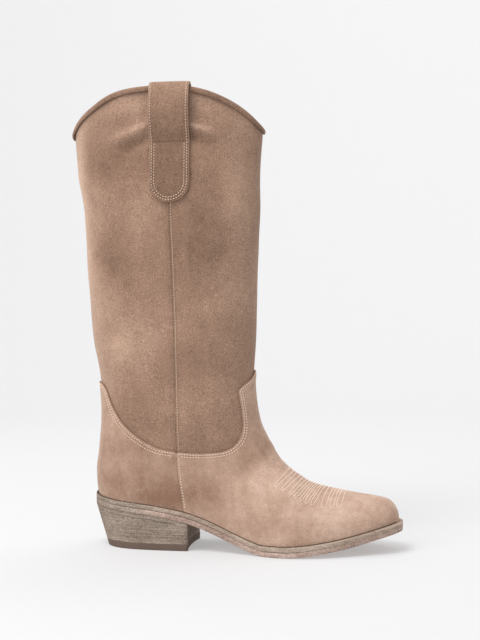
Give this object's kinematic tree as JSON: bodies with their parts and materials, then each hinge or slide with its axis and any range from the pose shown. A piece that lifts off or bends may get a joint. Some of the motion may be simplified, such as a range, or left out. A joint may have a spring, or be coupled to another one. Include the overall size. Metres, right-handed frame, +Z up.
{
  "type": "cowboy boot",
  "caption": "Knee-high suede western boot with a scalloped top line, pull straps, an almond toe, a welted leather sole and a stacked block heel.",
  "frame": {"origin": "on the floor, below the middle of the boot's box", "axes": "+X from the heel to the toe, -Y to the outer side of the foot, +Z up the shaft"},
  "size_m": [0.2974, 0.0954, 0.4112],
  "materials": {
    "shaft_suede": "taupe suede, nap side out, matt with soft darker and lighter stroked patches",
    "foot_suede": "paler pinkish-tan suede, nap side out, brushed lighter along edges and toe",
    "lining_leather": "smooth undyed lining leather, low sheen",
    "leatherboard": "pressed fibre leatherboard, matt",
    "sole_leather": "sanded veg-tanned sole leather edge, greyed brown",
    "heel_leather": "stacked leather sanded flush, greyed with dark and light level streaks",
    "top_lift_rubber": "dark brown heel rubber, matt",
    "cork": "ground cork filler, matt",
    "steel": "plain steel"
  },
  "bodies": {
    "root": {"shaft_front_panel": "shaft_suede", "shaft_back_panel": "shaft_suede", "topline_binding": "shaft_suede", "pull_strap_lateral": "shaft_suede", "pull_strap_medial": "shaft_suede", "vamp": "foot_suede", "counter_cover": "foot_suede", "shaft_lining_front": "lining_leather", "shaft_lining_back": "lining_leather", "vamp_lining": "lining_leather", "heel_lining": "lining_leather", "pull_strap_backing_lateral": "lining_leather", "pull_strap_backing_medial": "lining_leather", "sock_liner": "lining_leather", "heel_stiffener": "leatherboard", "toe_puff": "leatherboard", "vamp_interlining": "leatherboard", "insole": "leatherboard", "welt": "sole_leather", "outsole": "sole_leather", "heel_lift_1": "heel_leather", "heel_lift_2": "heel_leather", "heel_lift_3": "heel_leather", "heel_wedge": "heel_leather", "heel_seat_lift": "heel_leather", "top_lift": "top_lift_rubber", "cork_filler": "cork", "steel_shank": "steel", "heel_screw": "steel", "heel_nail_1": "steel", "heel_nail_2": "steel", "heel_nail_3": "steel", "heel_nail_4": "steel", "top_lift_pin_1": "steel", "top_lift_pin_2": "steel", "top_lift_pin_3": "steel", "top_lift_pin_4": "steel", "top_lift_pin_5": "steel"}
  },
  "joints": []
}
